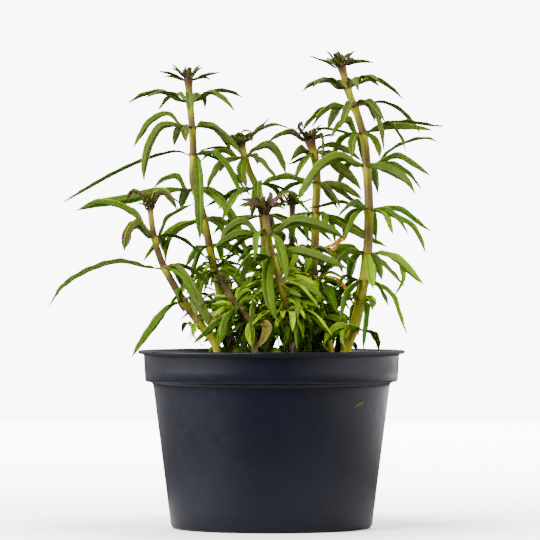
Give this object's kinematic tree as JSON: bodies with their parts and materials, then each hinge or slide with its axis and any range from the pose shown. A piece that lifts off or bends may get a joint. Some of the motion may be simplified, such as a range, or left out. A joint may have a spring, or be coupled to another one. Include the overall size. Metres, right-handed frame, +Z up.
{
  "type": "potted aquarium plant",
  "caption": "Upright stems with whorls of narrow drooping leaves, growing from dark substrate in a round flanged nursery pot.",
  "frame": {"origin": "centre of the flat underside of the pot", "axes": "+Z up along the pot's axis, +X to the viewer's right in the picture, +Y away from the viewer"},
  "size_m": [0.1763, 0.1196, 0.2155],
  "materials": {
    "pot": "satin black, wet",
    "substrate": "rough, damp, fibrous",
    "stem": "smooth, semi-gloss",
    "twig": "dull",
    "leaf": "wet gloss",
    "young_leaf": "wet gloss"
  },
  "bodies": {
    "root": {"back_stem": "stem", "back_stem_crown": "young_leaf", "back_stem_whorl_1": "leaf", "back_stem_whorl_2": "leaf", "back_stem_whorl_3": "leaf", "back_stem_whorl_4": "leaf", "centre_left_stem": "stem", "centre_left_stem_crown": "young_leaf", "centre_left_stem_whorl_1": "leaf", "centre_left_stem_whorl_2": "leaf", "centre_left_stem_whorl_3": "leaf", "centre_left_stem_whorl_4": "leaf", "centre_left_stem_whorl_5": "leaf", "centre_left_stem_whorl_6": "leaf", "front_stem": "stem", "front_stem_crown": "young_leaf", "front_stem_whorl_1": "leaf", "front_stem_whorl_2": "leaf", "front_stem_whorl_3": "leaf", "front_stem_whorl_4": "leaf", "left_back_stem": "stem", "left_back_stem_crown": "young_leaf", "left_back_stem_whorl_1": "leaf", "left_back_stem_whorl_2": "leaf", "left_back_stem_whorl_3": "leaf", "left_back_stem_whorl_4": "leaf", "left_back_stem_whorl_5": "leaf", "left_back_stem_whorl_6": "leaf", "left_back_stem_whorl_7": "leaf", "left_back_stem_whorl_8": "leaf", "left_leaning_stem": "stem", "left_leaning_stem_crown": "young_leaf", "left_leaning_stem_whorl_1": "leaf", "left_leaning_stem_whorl_2": "leaf", "left_leaning_stem_whorl_3": "leaf", "left_leaning_stem_whorl_4": "leaf", "pot": "pot", "right_centre_stem": "stem", "right_centre_stem_crown": "young_leaf", "right_centre_stem_whorl_1": "leaf", "right_centre_stem_whorl_2": "leaf", "right_centre_stem_whorl_3": "leaf", "right_centre_stem_whorl_4": "leaf", "right_centre_stem_whorl_5": "leaf", "right_centre_stem_whorl_6": "leaf", "right_stem": "stem", "right_stem_crown": "young_leaf", "right_stem_whorl_1": "leaf", "right_stem_whorl_2": "leaf", "right_stem_whorl_3": "leaf", "right_stem_whorl_4": "leaf", "right_stem_whorl_5": "leaf", "right_stem_whorl_6": "leaf", "right_stem_whorl_7": "leaf", "right_stem_whorl_8": "leaf", "right_stem_whorl_9": "leaf", "substrate": "substrate", "twig_stem": "twig", "twig_stem_crown": "young_leaf", "twig_stem_whorl_1": "leaf"}
  },
  "joints": []
}
